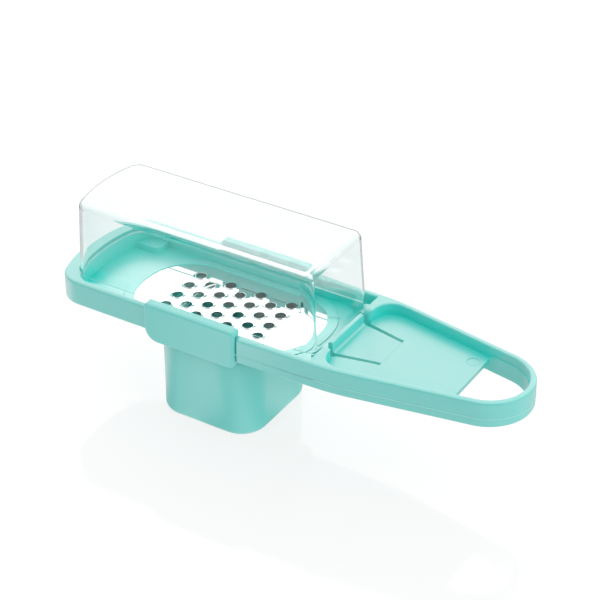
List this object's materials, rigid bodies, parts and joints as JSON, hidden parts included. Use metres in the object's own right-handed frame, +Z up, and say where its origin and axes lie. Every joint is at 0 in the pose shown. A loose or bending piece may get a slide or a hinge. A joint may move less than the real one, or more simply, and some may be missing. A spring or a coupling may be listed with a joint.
{
  "type": "hand-held cheese grater",
  "caption": "Flat hand-held grater: steel plate with raised holes under a clear box hood, in a plastic frame with a hollow handle, and a square catch cup that slides on the rails.",
  "frame": {"origin": "centre of the bounding box on the plane that the cup stands on", "axes": "+X along the handle towards its tip, +Y across the tool, +Z up through the hood"},
  "size_m": [0.2412, 0.0718, 0.0998],
  "materials": {
    "mint_plastic": "satin gloss",
    "polished_steel": "mirror polish",
    "clear_plastic": "clear gloss"
  },
  "bodies": {
    "frame": {"frame": "mint_plastic", "plate_ring": "mint_plastic", "grater_plate": "polished_steel"},
    "latch_tongue": {"latch_tongue": "mint_plastic"},
    "hood": {"hood": "clear_plastic"},
    "container": {"container": "mint_plastic"}
  },
  "joints": [
    {"name": "tongue_flex", "type": "hinge", "parent": "frame", "child": "latch_tongue", "pos_m": [0.0485, 0, 0.054], "axis": [0, 1, 0], "range_deg": [-3, 6], "stiffness_Nm_per_rad": 1},
    {"name": "hood_lift", "type": "slide", "parent": "frame", "child": "hood", "axis": [0, 0, 1], "range_m": [0, 0.05]},
    {"name": "container_slide", "type": "slide", "parent": "frame", "child": "container", "axis": [-1, 0, 0], "range_m": [0, 0.112]}
  ]
}
